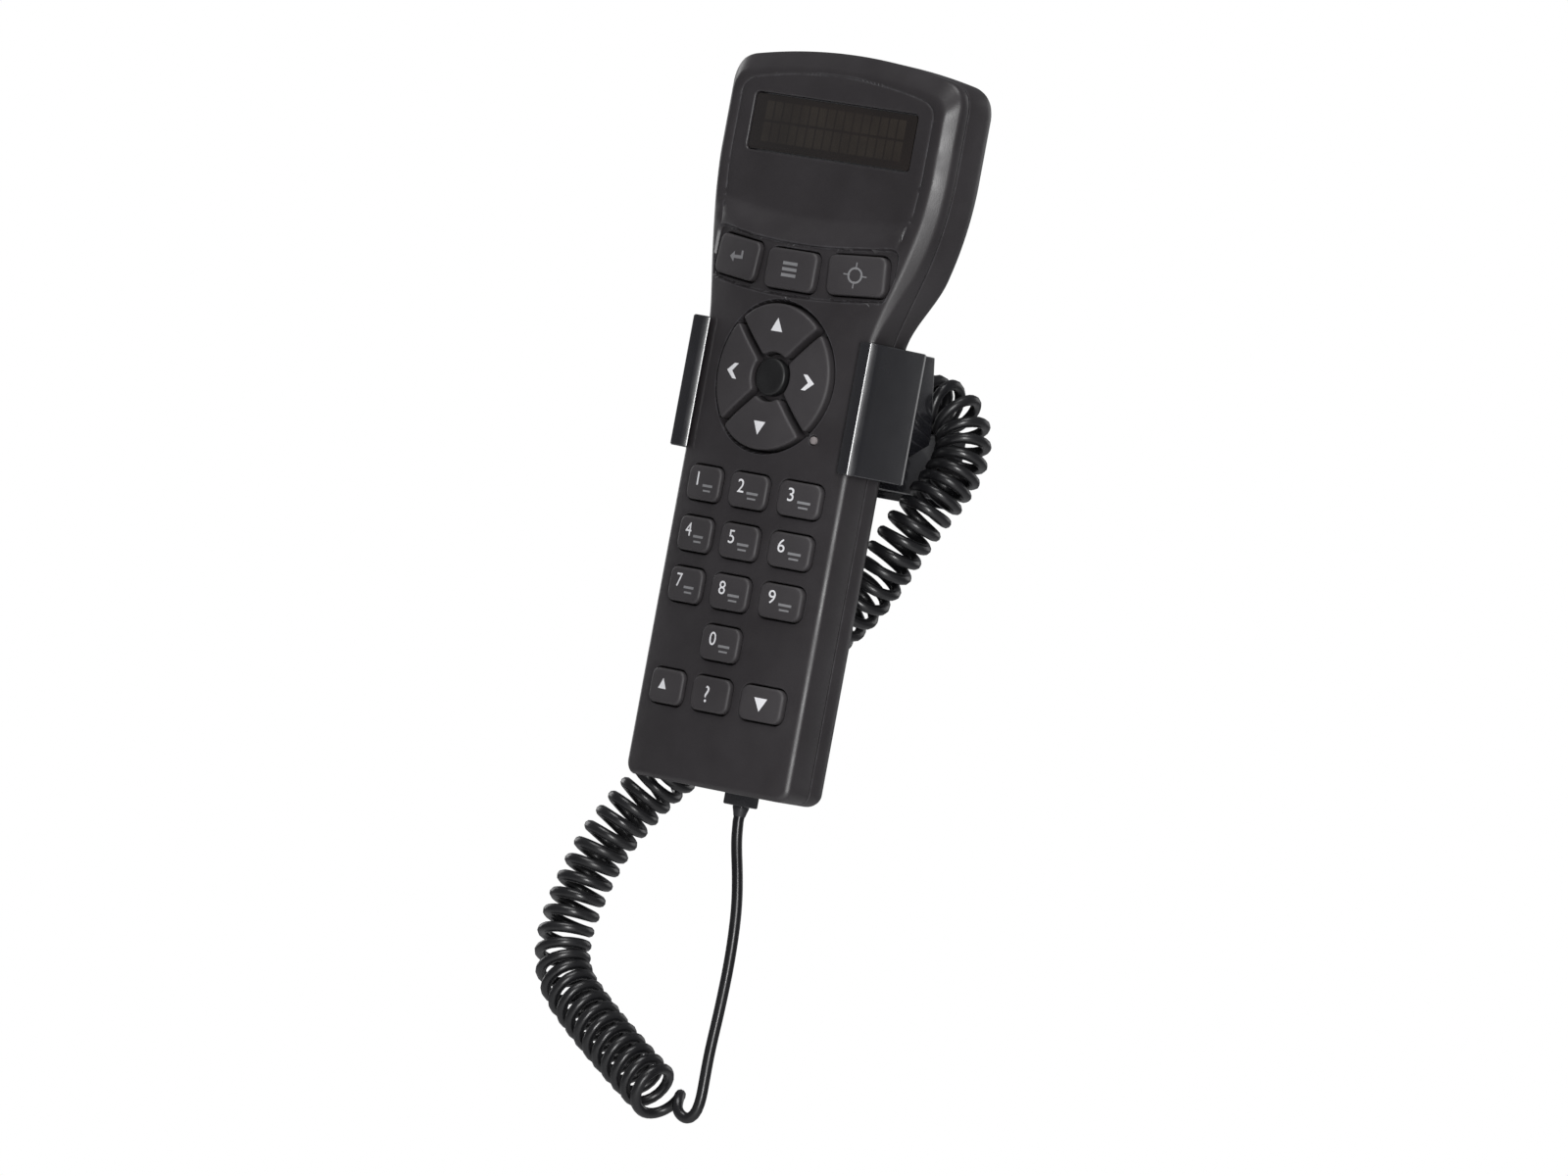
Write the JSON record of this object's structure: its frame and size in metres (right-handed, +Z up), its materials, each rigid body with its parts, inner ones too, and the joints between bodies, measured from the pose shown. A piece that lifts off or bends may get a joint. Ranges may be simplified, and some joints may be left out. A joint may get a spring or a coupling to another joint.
{
  "type": "telescope hand controller",
  "caption": "Wired hand controller with a wide display head and rubber keys, held in a clip holder on an arm, with a curly cord.",
  "frame": {"origin": "middle of the holder arm's flat rear face, where the object is fastened to a mount", "axes": "+Z up along the handset towards its display, +Y out of the arm's rear face, keys facing -Y, +X to the right seen from the keys"},
  "size_m": [0.096, 0.063, 0.2763],
  "materials": {
    "casing_plastic": "fine-grained dark warm grey moulded plastic",
    "key_rubber": "dark grey silicone rubber with white printed marks",
    "pad_hub_plastic": "black satin plastic",
    "indicator_lens": "small frosted lens",
    "window_plastic": "dark smoked clear plastic",
    "bezel_steel": "pressed tinned steel",
    "display_glass": "liquid crystal panel",
    "light_guide": "white light guide",
    "board_laminate": "green circuit board",
    "ribbon_film": "amber film",
    "chip_plastic": "black chip package",
    "mat_rubber": "dark silicone sheet",
    "socket_plastic": "black socket plastic",
    "lamp_red": "clear red plastic",
    "screw_steel": "black oxide steel",
    "holder_plastic": "satin black plastic with bright worn edges",
    "grip_rubber": "black rubber strip",
    "cord_jacket": "black flexible cord jacket",
    "tie_fabric": "black hook-and-loop strap",
    "plug_plastic": "black modular plug plastic"
  },
  "bodies": {
    "holder": {"holder_clip": "holder_plastic", "jaw_pad_left": "grip_rubber", "jaw_pad_right": "grip_rubber", "holder_arm": "holder_plastic", "holder_screw_1": "screw_steel", "holder_screw_2": "screw_steel", "cord_coil": "cord_jacket", "cord_coil_stored": "cord_jacket", "cord_tie": "tie_fabric", "cord_lead_far": "cord_jacket", "far_plug": "plug_plastic"},
    "handset": {"front_casing": "casing_plastic", "rear_casing": "casing_plastic", "display_window": "window_plastic", "display_bezel": "bezel_steel", "display_glass": "display_glass", "backlight": "light_guide", "display_board": "board_laminate", "display_ribbon": "ribbon_film", "main_board": "board_laminate", "processor": "chip_plastic", "keypad_mat": "mat_rubber", "cord_socket": "socket_plastic", "utility_led": "lamp_red", "utility_lens": "lamp_red", "pad_hub": "pad_hub_plastic", "pad_light": "indicator_lens", "casing_screw_1": "screw_steel", "casing_screw_2": "screw_steel", "casing_screw_3": "screw_steel", "casing_screw_4": "screw_steel", "near_plug": "plug_plastic", "cord_lead_near": "cord_jacket"},
    "key_enter": {"key_enter": "key_rubber"},
    "key_mode": {"key_mode": "key_rubber"},
    "key_goto": {"key_goto": "key_rubber"},
    "key_up": {"key_up": "key_rubber"},
    "key_left": {"key_left": "key_rubber"},
    "key_right": {"key_right": "key_rubber"},
    "key_down": {"key_down": "key_rubber"},
    "key_0": {"key_0": "key_rubber"},
    "key_1": {"key_1": "key_rubber"},
    "key_2": {"key_2": "key_rubber"},
    "key_3": {"key_3": "key_rubber"},
    "key_4": {"key_4": "key_rubber"},
    "key_5": {"key_5": "key_rubber"},
    "key_6": {"key_6": "key_rubber"},
    "key_7": {"key_7": "key_rubber"},
    "key_8": {"key_8": "key_rubber"},
    "key_9": {"key_9": "key_rubber"},
    "key_scroll_up": {"key_scroll_up": "key_rubber"},
    "key_help": {"key_help": "key_rubber"},
    "key_scroll_down": {"key_scroll_down": "key_rubber"}
  },
  "joints": [
    {"name": "handset_lift", "type": "slide", "parent": "holder", "child": "handset", "axis": [0, 0, 1], "range_m": [0, 0.12], "deforming": ["cord_coil"]},
    {"name": "key_enter_press", "type": "slide", "parent": "handset", "child": "key_enter", "axis": [0, 1, 0], "range_m": [0, 0.001], "stiffness_N_per_m": 300},
    {"name": "key_mode_press", "type": "slide", "parent": "handset", "child": "key_mode", "axis": [0, 1, 0], "range_m": [0, 0.001], "stiffness_N_per_m": 300},
    {"name": "key_goto_press", "type": "slide", "parent": "handset", "child": "key_goto", "axis": [0, 1, 0], "range_m": [0, 0.001], "stiffness_N_per_m": 300},
    {"name": "key_up_press", "type": "slide", "parent": "handset", "child": "key_up", "axis": [0, 1, 0], "range_m": [0, 0.001], "stiffness_N_per_m": 300},
    {"name": "key_left_press", "type": "slide", "parent": "handset", "child": "key_left", "axis": [0, 1, 0], "range_m": [0, 0.001], "stiffness_N_per_m": 300},
    {"name": "key_right_press", "type": "slide", "parent": "handset", "child": "key_right", "axis": [0, 1, 0], "range_m": [0, 0.001], "stiffness_N_per_m": 300},
    {"name": "key_down_press", "type": "slide", "parent": "handset", "child": "key_down", "axis": [0, 1, 0], "range_m": [0, 0.001], "stiffness_N_per_m": 300},
    {"name": "key_0_press", "type": "slide", "parent": "handset", "child": "key_0", "axis": [0, 1, 0], "range_m": [0, 0.001], "stiffness_N_per_m": 300},
    {"name": "key_1_press", "type": "slide", "parent": "handset", "child": "key_1", "axis": [0, 1, 0], "range_m": [0, 0.001], "stiffness_N_per_m": 300},
    {"name": "key_2_press", "type": "slide", "parent": "handset", "child": "key_2", "axis": [0, 1, 0], "range_m": [0, 0.001], "stiffness_N_per_m": 300},
    {"name": "key_3_press", "type": "slide", "parent": "handset", "child": "key_3", "axis": [0, 1, 0], "range_m": [0, 0.001], "stiffness_N_per_m": 300},
    {"name": "key_4_press", "type": "slide", "parent": "handset", "child": "key_4", "axis": [0, 1, 0], "range_m": [0, 0.001], "stiffness_N_per_m": 300},
    {"name": "key_5_press", "type": "slide", "parent": "handset", "child": "key_5", "axis": [0, 1, 0], "range_m": [0, 0.001], "stiffness_N_per_m": 300},
    {"name": "key_6_press", "type": "slide", "parent": "handset", "child": "key_6", "axis": [0, 1, 0], "range_m": [0, 0.001], "stiffness_N_per_m": 300},
    {"name": "key_7_press", "type": "slide", "parent": "handset", "child": "key_7", "axis": [0, 1, 0], "range_m": [0, 0.001], "stiffness_N_per_m": 300},
    {"name": "key_8_press", "type": "slide", "parent": "handset", "child": "key_8", "axis": [0, 1, 0], "range_m": [0, 0.001], "stiffness_N_per_m": 300},
    {"name": "key_9_press", "type": "slide", "parent": "handset", "child": "key_9", "axis": [0, 1, 0], "range_m": [0, 0.001], "stiffness_N_per_m": 300},
    {"name": "key_scroll_up_press", "type": "slide", "parent": "handset", "child": "key_scroll_up", "axis": [0, 1, 0], "range_m": [0, 0.001], "stiffness_N_per_m": 300},
    {"name": "key_help_press", "type": "slide", "parent": "handset", "child": "key_help", "axis": [0, 1, 0], "range_m": [0, 0.001], "stiffness_N_per_m": 300},
    {"name": "key_scroll_down_press", "type": "slide", "parent": "handset", "child": "key_scroll_down", "axis": [0, 1, 0], "range_m": [0, 0.001], "stiffness_N_per_m": 300}
  ]
}
